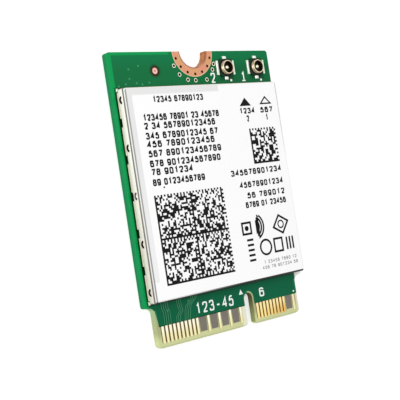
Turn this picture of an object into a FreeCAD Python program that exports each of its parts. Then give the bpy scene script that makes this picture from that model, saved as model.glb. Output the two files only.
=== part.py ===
"""Wireless card for a laptop: a keyed 22 x 30 mm plug-in board with a two-piece radio shield.

The card lies flat, label up. X runs across the card, Y along it towards the half-round screw
notch, Z up from the back of the board. The origin is under the middle of the card.
Lengths are millimetres. Distances called "from the contact end" start at the edge that
plugs in, and distances called "from the screw end" start at the opposite edge.
"""
import FreeCAD, Part
import math
import os

from FreeCAD import Vector, Rotation, Placement

# Board
card_length = 30.0
board_thickness = 0.8
mask_thickness = 0.04          # solder mask and copper stand this far above the laminate
corner_radius = 0.3
tongue_length = 4.2            # from the contact end to the shoulders
tongue_side_margin = 0.675     # outermost contact's middle to the tongue's side
tongue_corner_radius = 0.5
shoulder_width = 1.075
shoulder_fillet = 0.6
edge_bevel = 0.2
mask_side_inset = 0.27         # bare laminate strip along the tongue's sides
fit_gap = 0.005                # between plated copper and the laminate round it
fine_sides = 10                # of the prisms that stand for very small round features

# Edge contacts
contact_pitch = 0.5            # between neighbours on one face
pin_count = 75                 # contact positions on both faces together
contact_width = 0.35
contact_tip = 0.47             # from the contact end to the contacts' tips
contact_length = 1.71
key_pins = (24, 31)            # first and last position taken by the key notch
front_pins = [1] + list(range(7, 24, 2)) + [33, 39, 45, 51] + list(range(57, 76, 2))
back_pins = list(range(2, 23, 2)) + list(range(32, 75, 2))
blank_pin_pairs = [(3, 5), (35, 37), (41, 43), (47, 49), (53, 55)]
blank_field_side_gap = 0.12
blank_field_tip = 0.68         # from the contact end to the grey fields' lower edge
blank_field_thickness = 0.02

# Key notch
key_width = 1.2
key_depth = 3.5
key_mouth_radius = 0.3
key_mask_margin = 0.18

# Half-round screw notch and its copper ring
half_hole_radius = 1.75
plating = 0.02
ring_pad_width = 1.0
ring_via_inset = 0.31          # from the ring's outer edge to its via holes' circle
ring_via_radius = 0.12
ring_via_count = 7
ring_via_step = 24.1           # degrees
stitch_via_places = [(-151, 0.36), (-131, 0.51), (-110, 0.48), (-91, 0.37),
                     (-64, 0.69), (-39, 0.47), (-27, 0.36)]   # degrees, and clear of the ring
stitch_via_pad_radius = 0.26
stitch_via_barrel_radius = 0.16
stitch_via_hole_radius = 0.11

# Fiducial mark
fiducial_side_inset = 5.7      # from the card's left side
fiducial_end_inset = 2.0       # from the screw end
fiducial_radius = 0.37
fiducial_opening_radius = 0.57

# Antenna receptacles
antenna_side_inset = 2.13      # from the card's right side to the first receptacle
antenna_spacing = 4.52
antenna_end_inset = 1.88       # from the screw end
antenna_base_width = 1.84
antenna_base_length = 1.9
antenna_base_height = 0.24
antenna_flare_height = 0.27
antenna_base_corner = 0.25
antenna_ring_radius = 0.75
antenna_ring_wall = 0.12
antenna_height = 0.6
antenna_ring_flare = 0.03      # foot of the ring, where it meets the base
antenna_groove_depth = 0.05
antenna_groove_height = 0.13
antenna_rim_height = 0.13
antenna_leg_height = 0.12
antenna_leg_length = 1.55
antenna_leg_reach = 0.36       # the side legs stand this far out of the base
antenna_tab_width = 0.48
antenna_tab_reach = 0.28
antenna_tail_out = 0.37        # the tail stands this far out of the base
antenna_pin_radius = 0.19
antenna_pin_height = 0.44
antenna_tail_width = 0.3
antenna_tail_height = 0.1
antenna_tail_pad_radius = 0.22

# Shield
shield_side_margin = 0.5       # cover's skirt to the board's long sides
shield_shoulder_gap = 0.42     # shoulders to the cover's lower skirt
shield_antenna_gap = 0.6       # cover's upper skirt to the receptacles' tails
cover_height = 1.17            # board face to the cover's top face
cover_sheet = 0.12
cover_corner_radius = 0.2
cover_bend_radius = 0.14
cover_corner_slit = 0.08       # open seam between two skirts
skirt_clearance = 0.27         # board face to the skirt's lower edge
frame_sheet = 0.15
frame_play = 0.02              # between the skirt and the frame's wall
frame_corner_radius = 0.2
frame_flange = 0.7
frame_rib_width = 0.8
frame_rib_inset = 5.4          # rib's middle to the frame's upper wall
frame_opening_radius = 0.5
foot_gap_length = 0.88
foot_gap_count = 5             # on each wall
foot_gap_end_margin = 3.22     # wall's end to the outer gap's middle
solder_leg = 0.11
solder_height = 0.16
solder_end_margin = 0.2

# Snap tabs lanced out of the cover's skirt
tab_count = 5                  # on each wall
tab_end_margin = 1.16          # wall's end to the outer tab's middle
tab_edge_margin = 0.03         # slit to the skirt's lower edge
tab_radius = 0.38              # outer edge of the half-round slit
tab_slit = 0.13
tab_sides = 6                  # straight lengths that make up each half-round
tab_press = 18.0               # degrees that each tab is bent inwards
tab_window_margin = 0.06       # frame's window round a tab

# Label
label_side_margin = 0.2
label_end_margin = 0.12
label_thickness = 0.07
label_corner_radius = 0.2

# Parts under the shield
chip_height = 0.8
chip_substrate = 0.22
chip_step = 0.2
chip_mark_radius = 0.35
chip_mark_depth = 0.04
chip_end_inset = 4.2           # from the frame's lower wall
pad_inset = 0.7                # heat pad's edge to the chip's moulded edge
module_width, module_length, module_height = 3.4, 2.8, 0.62
module_end_inset = 1.9         # from the frame's upper wall
filter_width, filter_length, filter_height = 1.6, 0.8, 0.5
filter_end_inset = 0.5
crystal_width, crystal_length, crystal_height = 2.0, 2.5, 0.5
crystal_lid_inset = 0.12
crystal_side_inset = 1.2
crystal_end_inset = 6.6
inductor_width, inductor_length, inductor_height = 2.0, 2.5, 0.78
inductor_side_inset = 1.2
inductor_end_inset = 1.6
inductor_pitch = 3.2
inductor_terminal = 0.5
regulator_size, regulator_height = 2.6, 0.7
regulator_side_inset = 1.1
regulator_end_inset = 1.4
flash_width, flash_length, flash_height = 2.8, 3.6, 0.6
flash_side_inset = 1.0
flash_gap = 1.4                # between the regulator and the flash memory
package_chamfer = 0.08
capacitor_length, capacitor_width, capacitor_height = 1.0, 0.5, 0.5
capacitor_terminal = 0.24
capacitor_terminal_proud = 0.02
capacitor_pitch = 1.6
capacitor_chip_gap = 0.35
capacitor_outer_gap = 0.36     # a row of capacitors to the pieces beyond it
resistor_length, resistor_width, resistor_height = 0.6, 0.3, 0.23
resistor_pitch = 0.85
resistor_chip_gap = 0.5

# Sizes that follow from those above
pin_step = contact_pitch / 2
first_pin_x = (pin_count - 1) / 2 * pin_step
tongue_half = first_pin_x + tongue_side_margin
card_half = tongue_half + shoulder_width
contact_end = -card_length / 2
screw_end = card_length / 2
front_laminate = board_thickness - mask_thickness
mask_line = contact_end + contact_tip + contact_length
ring_pad_radius = half_hole_radius + ring_pad_width
antenna_y = screw_end - antenna_end_inset
antenna_xs = [card_half - antenna_side_inset, card_half - antenna_side_inset - antenna_spacing]
antenna_tail_reach = antenna_base_length / 2 + antenna_tail_out

cover_half = card_half - shield_side_margin
cover_low = contact_end + tongue_length + shield_shoulder_gap
cover_high = antenna_y - antenna_tail_reach - shield_antenna_gap
cover_length = cover_high - cover_low
shield_y = (cover_low + cover_high) / 2
cover_top = board_thickness + cover_height
cover_under = cover_top - cover_sheet
skirt_bottom = board_thickness + skirt_clearance
frame_inset = cover_sheet + frame_play
frame_half = cover_half - frame_inset
frame_length = cover_length - 2 * frame_inset
inner_left = -frame_half + frame_sheet
inner_right = frame_half - frame_sheet
inner_low = shield_y - frame_length / 2 + frame_sheet
inner_high = shield_y + frame_length / 2 - frame_sheet

# The radio chip fills the room that the pieces round it leave
capacitor_row = capacitor_chip_gap + capacitor_length + capacitor_outer_gap
chip_left = inner_left + inductor_side_inset + inductor_width + capacitor_row
chip_right = inner_right - flash_side_inset - flash_width - capacitor_row
chip_low = inner_low + chip_end_inset
chip_high = inner_high - module_end_inset - module_length - capacitor_row
chip_width = chip_right - chip_left
chip_length = chip_high - chip_low
tab_z = skirt_bottom + tab_edge_margin + tab_radius


def pin_x(pin):
    """Middle of a contact: odd pins are on the front, even pins half a pitch along on the back."""
    return first_pin_x - (pin - 1) * pin_step


def rounded_face(corners, z):
    """Flat face at height z whose outline runs through corners (x, y, radius), each rounded."""
    stations = []
    for i, (x, y, radius) in enumerate(corners):
        corner = Vector(x, y, z)
        before = Vector(corners[i - 1][0], corners[i - 1][1], z)
        after = Vector(corners[(i + 1) % len(corners)][0], corners[(i + 1) % len(corners)][1], z)
        back = (before - corner).normalize()
        ahead = (after - corner).normalize()
        if radius == 0:
            stations.append((corner, None, corner))
            continue
        half_angle = back.getAngle(ahead) / 2
        reach = radius / math.tan(half_angle)
        bisector = (back + ahead).normalize()
        middle = corner + bisector * (radius / math.sin(half_angle) - radius)
        stations.append((corner + back * reach, middle, corner + ahead * reach))
    edges = []
    for i, (start, middle, end) in enumerate(stations):
        if middle is not None:
            edges.append(Part.Arc(start, middle, end).toShape())
        next_start = stations[(i + 1) % len(stations)][0]
        if (next_start - end).Length > 1e-6:
            edges.append(Part.makeLine(end, next_start))
    return Part.Face(Part.Wire(edges))


def prism(corners, low, high):
    """Upright solid between two heights over a rounded outline."""
    return rounded_face(corners, low).extrude(Vector(0, 0, high - low))


def rectangle(half_width, low_y, high_y, radius):
    """Corners of a rectangle that is centred across the card."""
    return [(-half_width, low_y, radius), (half_width, low_y, radius),
            (half_width, high_y, radius), (-half_width, high_y, radius)]


def block(x, y, z, width, length, height):
    """Box centred on (x, y) that stands on height z."""
    return Part.makeBox(width, length, height, Vector(x - width / 2, y - length / 2, z))


def cylinder(x, y, low, high, radius):
    return Part.makeCylinder(radius, high - low, Vector(x, y, low))


def fine_cylinder(x, y, low, high, radius):
    """Upright many-sided prism that stands for a round feature under a millimetre wide."""
    step = 2 * math.pi / fine_sides
    corners = [Vector(x + radius * math.cos((i + 0.5) * step), y + radius * math.sin((i + 0.5) * step), low)
               for i in range(fine_sides)]
    return Part.Face(Part.makePolygon(corners + corners[:1])).extrude(Vector(0, 0, high - low))


def joined(shapes):
    """One solid from several that touch or overlap."""
    whole = shapes[0]
    for shape in shapes[1:]:
        whole = whole.fuse(shape)
    return whole.removeSplitter()


def placed(shape, angle, position):
    """Copy of a shape turned about Z and moved."""
    copy = shape.copy()
    copy.Placement = Placement(position, Rotation(Vector(0, 0, 1), angle))
    return copy


def wall_places(half_width, length, count, end_margin):
    """Evenly spaced places on the four walls of the shield, as (angle, position, offset).

    A shape made for a place has its wall's outer face at y = 0, the inside of the shield
    towards +y and the wall's length along x.
    """
    walls = [(0, Vector(0, shield_y - length / 2, 0), Vector(1, 0, 0), 2 * half_width),
             (90, Vector(half_width, shield_y, 0), Vector(0, 1, 0), length),
             (180, Vector(0, shield_y + length / 2, 0), Vector(-1, 0, 0), 2 * half_width),
             (270, Vector(-half_width, shield_y, 0), Vector(0, -1, 0), length)]
    places = []
    for angle, middle, along, wall_length in walls:
        for i in range(count):
            offset = (i / (count - 1) - 0.5) * (wall_length - 2 * end_margin)
            places.append((angle, middle + along * offset, offset))
    return places


def outline(key_margin=0.0):
    """Corners of the board with its tongue and key notch; key_margin widens the notch."""
    key_x = (pin_x(key_pins[0]) + pin_x(key_pins[1])) / 2
    key_half = key_width / 2 + key_margin
    key_top = contact_end + key_depth + key_margin
    shoulder_y = contact_end + tongue_length
    return [(-tongue_half, contact_end, tongue_corner_radius),
            (key_x - key_half, contact_end, key_mouth_radius),
            (key_x - key_half, key_top, key_half),
            (key_x + key_half, key_top, key_half),
            (key_x + key_half, contact_end, key_mouth_radius),
            (tongue_half, contact_end, tongue_corner_radius),
            (tongue_half, shoulder_y, shoulder_fillet),
            (card_half, shoulder_y, corner_radius),
            (card_half, screw_end, corner_radius),
            (-card_half, screw_end, corner_radius),
            (-card_half, shoulder_y, corner_radius),
            (-tongue_half, shoulder_y, shoulder_fillet)]


def mask_layer(low):
    """Solder mask on one face: bare along the contacts, the tongue's sides and the key notch."""
    layer = prism(outline(key_mask_margin), low, low + mask_thickness)
    card_width = 2 * card_half
    bare_strip = Part.makeBox(card_width, mask_line - contact_end + 1, mask_thickness,
                              Vector(-card_half, contact_end - 1, low))
    layer = layer.cut(bare_strip)
    side_top = contact_end + tongue_length - shoulder_fillet / 2
    for side in (-1, 1):
        side_strip = Part.makeBox(shoulder_width + mask_side_inset, side_top - contact_end + 1,
                                  mask_thickness, Vector(0, 0, low))
        left = -card_half if side < 0 else tongue_half - mask_side_inset
        side_strip.translate(Vector(left, contact_end - 1, 0))
        layer = layer.cut(side_strip)
    return layer


def ring_via_points():
    """Holes round the copper ring, evenly spaced about the line towards the contacts."""
    circle = ring_pad_radius - ring_via_inset
    points = []
    for i in range(ring_via_count):
        angle = math.radians(-90 + (i - (ring_via_count - 1) / 2) * ring_via_step)
        points.append((circle * math.cos(angle), screw_end + circle * math.sin(angle)))
    return points


def stitch_via_points():
    """Plated holes beyond the copper ring."""
    points = []
    for degrees, clear in stitch_via_places:
        angle = math.radians(degrees)
        circle = ring_pad_radius + clear
        points.append((circle * math.cos(angle), screw_end + circle * math.sin(angle)))
    return points


def fiducial_point():
    return -card_half + fiducial_side_inset, screw_end - fiducial_end_inset


def circuit_board():
    """Laminate with its mask on both faces, the notches, bevels and openings for the copper."""
    board = joined([prism(outline(), mask_thickness, front_laminate),
                    mask_layer(0), mask_layer(front_laminate)])
    top = board_thickness
    cutters = [cylinder(0, screw_end, 0, top, half_hole_radius + plating + fit_gap)]
    for low in (0, front_laminate):
        cutters.append(cylinder(0, screw_end, low, low + mask_thickness, ring_pad_radius + fit_gap))
    for x, y in ring_via_points():
        cutters.append(fine_cylinder(x, y, 0, top, ring_via_radius))
    for x, y in stitch_via_points():
        cutters.append(fine_cylinder(x, y, 0, top, stitch_via_barrel_radius + fit_gap))
        for low in (0, front_laminate):
            cutters.append(fine_cylinder(x, y, low, low + mask_thickness,
                                         stitch_via_pad_radius + fit_gap))
    x, y = fiducial_point()
    cutters.append(cylinder(x, y, front_laminate, top, fiducial_opening_radius))
    for face, inward in ((front_laminate, -1), (mask_thickness, 1)):
        wedge = Part.Face(Part.makePolygon([Vector(-card_half, contact_end, face),
                                            Vector(-card_half, contact_end + edge_bevel, face),
                                            Vector(-card_half, contact_end, face + inward * edge_bevel),
                                            Vector(-card_half, contact_end, face)]))
        cutters.append(wedge.extrude(Vector(2 * card_half, 0, 0)))
    return board.cut(Part.makeCompound(cutters)).removeSplitter()


def mounting_ring():
    """Copper ring on both faces, joined by the plated wall of the half-round notch."""
    top = board_thickness
    ring = joined([cylinder(0, screw_end, front_laminate, top, ring_pad_radius),
                   cylinder(0, screw_end, 0, mask_thickness, ring_pad_radius),
                   cylinder(0, screw_end, 0, top, half_hole_radius + plating)])
    ring = ring.cut(cylinder(0, screw_end, 0, top, half_hole_radius))
    beyond = Part.makeBox(2 * ring_pad_radius, ring_pad_radius, top,
                          Vector(-ring_pad_radius, screw_end, 0))
    holes = [fine_cylinder(x, y, 0, top, ring_via_radius) for x, y in ring_via_points()]
    return ring.cut(Part.makeCompound([beyond] + holes))


def stitching_vias():
    """Plated eyelets: a barrel through the board with a pad on each face."""
    eyelets = []
    for x, y in stitch_via_points():
        eyelet = joined([fine_cylinder(x, y, 0, board_thickness, stitch_via_barrel_radius),
                         fine_cylinder(x, y, 0, mask_thickness, stitch_via_pad_radius),
                         fine_cylinder(x, y, front_laminate, board_thickness, stitch_via_pad_radius)])
        eyelets.append(eyelet.cut(fine_cylinder(x, y, 0, board_thickness, stitch_via_hole_radius)))
    return Part.makeCompound(eyelets)


def fiducial_dot():
    x, y = fiducial_point()
    return cylinder(x, y, front_laminate, board_thickness, fiducial_radius)


def contact(pin, low):
    """Gold finger on bare laminate, its inner end against the edge of the mask."""
    return Part.makeBox(contact_width, contact_length, mask_thickness,
                        Vector(pin_x(pin) - contact_width / 2, contact_end + contact_tip, low))


def back_contacts():
    return Part.makeCompound([contact(pin, 0) for pin in back_pins])


def blank_contact_fields():
    """Grey coated fields where the front row leaves two contacts out."""
    fields = []
    for first, second in blank_pin_pairs:
        clear = contact_width / 2 + blank_field_side_gap
        right = pin_x(first - 2) - clear
        left = pin_x(second + 2) + clear
        low_y = contact_end + blank_field_tip
        fields.append(Part.makeBox(right - left, mask_line - low_y, blank_field_thickness,
                                   Vector(left, low_y, front_laminate)))
    return Part.makeCompound(fields)


def half_disc(radius, depth):
    """Lower half of a many-sided disc that stands in the XZ plane, extruded along y."""
    corners = []
    for i in range(tab_sides + 1):
        angle = math.pi * (1 + i / tab_sides)
        corners.append(Vector(radius * math.cos(angle), 0, radius * math.sin(angle)))
    return Part.Face(Part.makePolygon(corners + corners[:1])).extrude(Vector(0, depth, 0))


def snap_tab():
    """Half-round tongue inside the slit, hinged at its flat top and bent inwards."""
    tongue = half_disc(tab_radius - tab_slit, cover_sheet)
    tongue.rotate(Vector(0, 0, 0), Vector(1, 0, 0), tab_press)
    return tongue


def shield_cover():
    """Folded cover: flat top, four skirts with open corners, and lanced snap tabs."""
    shell = prism(rectangle(cover_half, cover_low, cover_high, cover_corner_radius),
                  skirt_bottom, cover_top)
    rim = [edge for edge in shell.Edges if edge.BoundBox.ZMin > cover_top - 0.001]
    shell = shell.makeFillet(cover_bend_radius, rim)
    hollow = prism(rectangle(cover_half - cover_sheet, cover_low + cover_sheet,
                             cover_high - cover_sheet, cover_corner_radius - cover_sheet),
                   skirt_bottom, cover_under)
    cutters = [hollow]
    slit = Part.makeBox(2 * cover_corner_radius, cover_corner_slit,
                        cover_top - cover_bend_radius - skirt_bottom,
                        Vector(0, -cover_corner_slit / 2, skirt_bottom))
    right, high, low = (cover_half - cover_corner_radius, cover_high - cover_corner_radius,
                        cover_low + cover_corner_radius)
    for angle, x, y in ((45, right, high), (135, -right, high), (225, -right, low), (315, right, low)):
        cutters.append(placed(slit, angle, Vector(x, y, 0)))
    tabs = []
    for angle, position, offset in wall_places(cover_half, cover_length, tab_count, tab_end_margin):
        place = position + Vector(0, 0, tab_z)
        cutters.append(placed_local(half_disc(tab_radius, cover_sheet), angle, place))
        tabs.append(placed_local(snap_tab(), angle, place))
    return joined([shell.cut(Part.makeCompound(cutters))] + tabs)


def placed_local(shape, angle, position):
    """Moves a finished shape to a wall place, keeping any turn that it already has."""
    copy = shape.copy()
    copy.Placement = Placement(position, Rotation(Vector(0, 0, 1), angle)).multiply(copy.Placement)
    return copy


def shield_frame():
    """Soldered fence under the cover: walls with feet and windows, a flange and one rib."""
    low_y, high_y = shield_y - frame_length / 2, shield_y + frame_length / 2
    fence = prism(rectangle(frame_half, low_y, high_y, frame_corner_radius),
                  board_thickness, cover_under)
    hollow = prism(rectangle(frame_half - frame_sheet, low_y + frame_sheet, high_y - frame_sheet,
                             frame_corner_radius - frame_sheet),
                   board_thickness, cover_under - frame_sheet)
    opening_half = frame_half - frame_flange
    rib_y = high_y - frame_rib_inset
    cutters = [hollow]
    for start, end in ((low_y + frame_flange, rib_y - frame_rib_width / 2),
                       (rib_y + frame_rib_width / 2, high_y - frame_flange)):
        cutters.append(prism(rectangle(opening_half, start, end, frame_opening_radius),
                             cover_under - frame_sheet, cover_under))
    foot_gap = Part.makeBox(foot_gap_length, frame_sheet, skirt_clearance,
                            Vector(-foot_gap_length / 2, 0, board_thickness))
    for angle, position, offset in wall_places(frame_half, frame_length, foot_gap_count,
                                               foot_gap_end_margin):
        cutters.append(placed(foot_gap, angle, position))
    window_half = tab_radius + tab_window_margin
    tongue_radius = tab_radius - tab_slit
    window = Part.makeBox(2 * window_half, frame_sheet, tongue_radius + 2 * tab_window_margin,
                          Vector(-window_half, 0, tab_z - tongue_radius - tab_window_margin))
    for angle, position, offset in wall_places(frame_half, frame_length, tab_count,
                                               tab_end_margin - frame_inset):
        cutters.append(placed(window, angle, position))
    return fence.cut(Part.makeCompound(cutters)).removeSplitter()


def frame_solder():
    """Solder fillets along the frame's feet, between the foot gaps."""
    section = Part.Face(Part.makePolygon([Vector(0, 0, board_thickness),
                                          Vector(0, -solder_leg, board_thickness),
                                          Vector(0, 0, board_thickness + solder_height),
                                          Vector(0, 0, board_thickness)]))
    places = wall_places(frame_half, frame_length, foot_gap_count, foot_gap_end_margin)
    fillets = []
    for wall_angle in (0, 90, 180, 270):
        offsets = [offset for angle, position, offset in places if angle == wall_angle]
        wall_length = 2 * frame_half if wall_angle in (0, 180) else frame_length
        reach = wall_length / 2 - solder_end_margin
        starts = [-reach] + [offset + foot_gap_length / 2 for offset in offsets]
        ends = [offset - foot_gap_length / 2 for offset in offsets] + [reach]
        turn = Rotation(Vector(0, 0, 1), wall_angle)
        depth = frame_length / 2 if wall_angle in (0, 180) else frame_half
        middle = Vector(0, shield_y, 0) + turn.multVec(Vector(0, -depth, 0))
        for start, end in zip(starts, ends):
            fillet = section.extrude(Vector(end - start, 0, 0))
            fillets.append(placed(fillet, wall_angle, middle + turn.multVec(Vector(start, 0, 0))))
    return Part.makeCompound(fillets)


def label():
    return prism(rectangle(cover_half - label_side_margin, cover_low + label_end_margin,
                           cover_high - label_end_margin, label_corner_radius),
                 cover_top, cover_top + label_thickness)


def receptacle_ring_section():
    """Half section of the snap ring: flared foot, straight wall and a groove under the rim."""
    outer = antenna_ring_radius
    inner = outer - antenna_ring_wall
    top = antenna_height
    rim_low = top - antenna_rim_height
    groove_low = rim_low - antenna_groove_height
    soft = antenna_groove_depth / 2
    points = [(inner, antenna_leg_height), (outer + antenna_ring_flare, antenna_leg_height),
              (outer, antenna_flare_height), (outer, groove_low),
              (outer - antenna_groove_depth, (groove_low + rim_low) / 2), (outer, rim_low),
              (outer, top - soft), (outer - soft, top), (inner + soft, top), (inner, top - soft)]
    corners = [Vector(radius, 0, height) for radius, height in points]
    return Part.Face(Part.makePolygon(corners + corners[:1]))


def receptacle_shell():
    """Gold shell at the origin: snap ring on two side legs and one end tab."""
    ring = receptacle_ring_section().revolve(Vector(0, 0, 0), Vector(0, 0, 1), 360)
    inner = antenna_ring_radius - antenna_ring_wall
    leg_half = antenna_base_width / 2 + antenna_leg_reach
    legs = block(0, 0, 0, 2 * leg_half, antenna_leg_length, antenna_leg_height)
    tab_end = antenna_base_length / 2 + antenna_tab_reach
    tab = Part.makeBox(antenna_tab_width, tab_end, antenna_leg_height,
                       Vector(-antenna_tab_width / 2, 0, 0))
    channel = block(0, 0, 0, 2 * inner, antenna_leg_length, antenna_leg_height)
    channel = channel.cut(block(0, tab_end, 0, antenna_tab_width, 2 * (tab_end - inner),
                                antenna_leg_height))
    return joined([ring, legs.fuse(tab).cut(channel)])


def receptacle_contact():
    """Centre pin with a tapered tip, and the tail that carries the signal out of the ring."""
    taper = antenna_pin_radius / 3
    pin = cylinder(0, 0, 0, antenna_pin_height - taper, antenna_pin_radius)
    tip = Part.makeCone(antenna_pin_radius, antenna_pin_radius - taper, taper,
                        Vector(0, 0, antenna_pin_height - taper))
    reach = antenna_tail_reach - antenna_tail_pad_radius
    tail = Part.makeBox(antenna_tail_width, reach, antenna_tail_height,
                        Vector(-antenna_tail_width / 2, -reach, 0))
    pad = fine_cylinder(0, -reach, 0, antenna_tail_height, antenna_tail_pad_radius)
    return joined([pin, tip, tail, pad])


def receptacle_base(shell, centre_contact):
    """Moulded base: fills round the legs and the tail, with a low floor inside the ring."""
    base = block(0, 0, 0, antenna_base_width, antenna_base_length, antenna_base_height)
    upright = [edge for edge in base.Edges if edge.BoundBox.ZLength > antenna_base_height / 2]
    base = base.makeChamfer(antenna_base_corner, upright)
    well = cylinder(0, 0, antenna_leg_height, antenna_base_height,
                    antenna_ring_radius - antenna_ring_wall)
    return base.cut(well).cut(shell).cut(centre_contact)


def package(x, y, width, length, height):
    """Moulded package with a chamfered top edge."""
    body = block(x, y, board_thickness, width, length, height)
    rim = [edge for edge in body.Edges if edge.BoundBox.ZMin > board_thickness + height - 0.001]
    return body.makeChamfer(package_chamfer, rim)


def chip_place():
    return (chip_left + chip_right) / 2, (chip_low + chip_high) / 2


def radio_chip():
    """Main radio chip: substrate, moulded body and the dimple that marks pin one."""
    x, y = chip_place()
    substrate = block(x, y, board_thickness, chip_width, chip_length, chip_substrate)
    body = package(x, y, chip_width - 2 * chip_step, chip_length - 2 * chip_step, chip_height)
    top = board_thickness + chip_height
    mark = cylinder(chip_left + chip_step + 3 * chip_mark_radius,
                    chip_high - chip_step - 3 * chip_mark_radius,
                    top - chip_mark_depth, top, chip_mark_radius)
    return joined([substrate, body]).cut(mark)


def heat_pad():
    """Soft pad that fills the room between the radio chip and the cover."""
    x, y = chip_place()
    edge = 2 * (chip_step + pad_inset)
    chip_top = board_thickness + chip_height
    return block(x, y, chip_top, chip_width - edge, chip_length - edge, cover_under - chip_top)


def front_end_module(antenna_x):
    return package(antenna_x - module_width / 2, inner_high - module_end_inset - module_length / 2,
                   module_width, module_length, module_height)


def antenna_filter(antenna_x):
    return block(antenna_x - module_width / 2, inner_high - filter_end_inset - filter_length / 2,
                 board_thickness, filter_width, filter_length, filter_height)


def crystal():
    """Ceramic tub with a metal lid set in from its edges."""
    x = inner_left + crystal_side_inset + crystal_width / 2
    y = inner_high - crystal_end_inset - crystal_length / 2
    lid_height = crystal_height / 4
    tub = block(x, y, board_thickness, crystal_width, crystal_length, crystal_height - lid_height)
    lid = block(x, y, board_thickness + crystal_height - lid_height,
                crystal_width - 2 * crystal_lid_inset, crystal_length - 2 * crystal_lid_inset,
                lid_height)
    return joined([tub, lid])


def power_inductor(index):
    """Moulded coil with a terminal wrapped round each end, so its middle stands off the board."""
    x = inner_left + inductor_side_inset + inductor_width / 2
    y = inner_low + inductor_end_inset + inductor_length / 2 + index * inductor_pitch
    body = package(x, y, inductor_width, inductor_length, inductor_height)
    slot_height = package_chamfer
    slot = block(x, y, board_thickness, inductor_width, inductor_length - 2 * inductor_terminal,
                 slot_height)
    return body.cut(slot)


def power_regulator():
    return package(inner_right - regulator_side_inset - regulator_size / 2,
                   inner_low + regulator_end_inset + regulator_size / 2,
                   regulator_size, regulator_size, regulator_height)


def flash_memory():
    low_y = inner_low + regulator_end_inset + regulator_size + flash_gap
    return package(inner_right - flash_side_inset - flash_width / 2, low_y + flash_length / 2,
                   flash_width, flash_length, flash_height)


def chip_capacitor(x, y, upright):
    """Ceramic body between two slightly larger metal ends."""
    length, width = capacitor_length, capacitor_width
    body = block(0, 0, board_thickness, length, width - 2 * capacitor_terminal_proud,
                 capacitor_height - capacitor_terminal_proud)
    ends = [block(side * (length - capacitor_terminal) / 2, 0, board_thickness,
                  capacitor_terminal, width, capacitor_height) for side in (-1, 1)]
    return placed(joined([body] + ends), 90 if upright else 0, Vector(x, y, 0))


def row_offsets(length, pitch):
    """Evenly spaced places, centred on 0, for as many pieces as a length takes."""
    count = int(length / pitch)
    return [(i - (count - 1) / 2) * pitch for i in range(count)]


def capacitors():
    """Rows of capacitors along the radio chip's left, right and upper sides."""
    x, y = chip_place()
    out = capacitor_chip_gap + capacitor_length / 2
    parts = []
    for offset in row_offsets(chip_length, capacitor_pitch):
        parts.append(chip_capacitor(chip_left - out, y + offset, False))
        parts.append(chip_capacitor(chip_right + out, y + offset, False))
    for offset in row_offsets(chip_width, capacitor_pitch):
        parts.append(chip_capacitor(x + offset, chip_high + out, True))
    return Part.makeCompound(parts)


def resistors():
    """Row of small resistors below the radio chip."""
    x, y = chip_place()
    row_y = chip_low - resistor_chip_gap - resistor_length / 2
    return Part.makeCompound([block(x + offset, row_y, board_thickness, resistor_width,
                                    resistor_length, resistor_height)
                              for offset in row_offsets(chip_width, resistor_pitch)])


def antenna_receptacles():
    """Nodes of both receptacles; number one is beside the card's right side."""
    shell = receptacle_shell()
    centre_contact = receptacle_contact()
    base = receptacle_base(shell, centre_contact)
    nodes = {}
    for number, x in enumerate(antenna_xs, start=1):
        place = Vector(x, antenna_y, board_thickness)
        nodes[f"antenna_{number}_shell"] = placed(shell, 0, place)
        nodes[f"antenna_{number}_contact"] = placed(centre_contact, 0, place)
        nodes[f"antenna_{number}_base"] = placed(base, 0, place)
    return nodes


def all_nodes():
    nodes = {"circuit_board": circuit_board(), "mounting_ring": mounting_ring(),
             "stitching_vias": stitching_vias(), "fiducial_dot": fiducial_dot()}
    for pin in front_pins:
        nodes[f"contact_{pin:02d}"] = contact(pin, front_laminate)
    nodes["back_contacts"] = back_contacts()
    nodes["blank_contact_fields"] = blank_contact_fields()
    nodes.update(antenna_receptacles())
    nodes.update({"shield_frame": shield_frame(), "frame_solder": frame_solder(),
                  "shield_cover": shield_cover(), "label": label()})
    nodes.update({"radio_chip": radio_chip(), "heat_pad": heat_pad(), "crystal": crystal(),
                  "power_regulator": power_regulator(), "flash_memory": flash_memory(),
                  "capacitors": capacitors(), "resistors": resistors()})
    for number, x in enumerate(antenna_xs, start=1):
        nodes[f"front_end_module_{number}"] = front_end_module(x)
        nodes[f"antenna_filter_{number}"] = antenna_filter(x)
    for number in (1, 2):
        nodes[f"power_inductor_{number}"] = power_inductor(number - 1)
    return nodes


os.makedirs("parts", exist_ok=True)
for name, shape in all_nodes().items():
    shape.exportStep(f"parts/{name}.step")
    box = shape.BoundBox
    print(f"{name}: {len(shape.Solids)} solid, valid {shape.isValid()}, volume {shape.Volume:.4f},"
          f" x {box.XMin:.2f}..{box.XMax:.2f}, y {box.YMin:.2f}..{box.YMax:.2f},"
          f" z {box.ZMin:.2f}..{box.ZMax:.2f}")
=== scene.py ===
"""Wireless card for a laptop, lying label up on a pale floor and seen from above its left side.

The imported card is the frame. This script gives its nodes their materials and adds what is too
fine for the solids: the printed ink, the tracks under the mask, covered vias and solder.
Positions are millimetres from the middle of the card, X across it, Y towards the screw notch
and Z up from the back of the board. add_piece turns them into metres. Colours are display values
from 0 to 255.
"""

import math

import bpy
import numpy as np
from mathutils import Matrix, Vector


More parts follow.
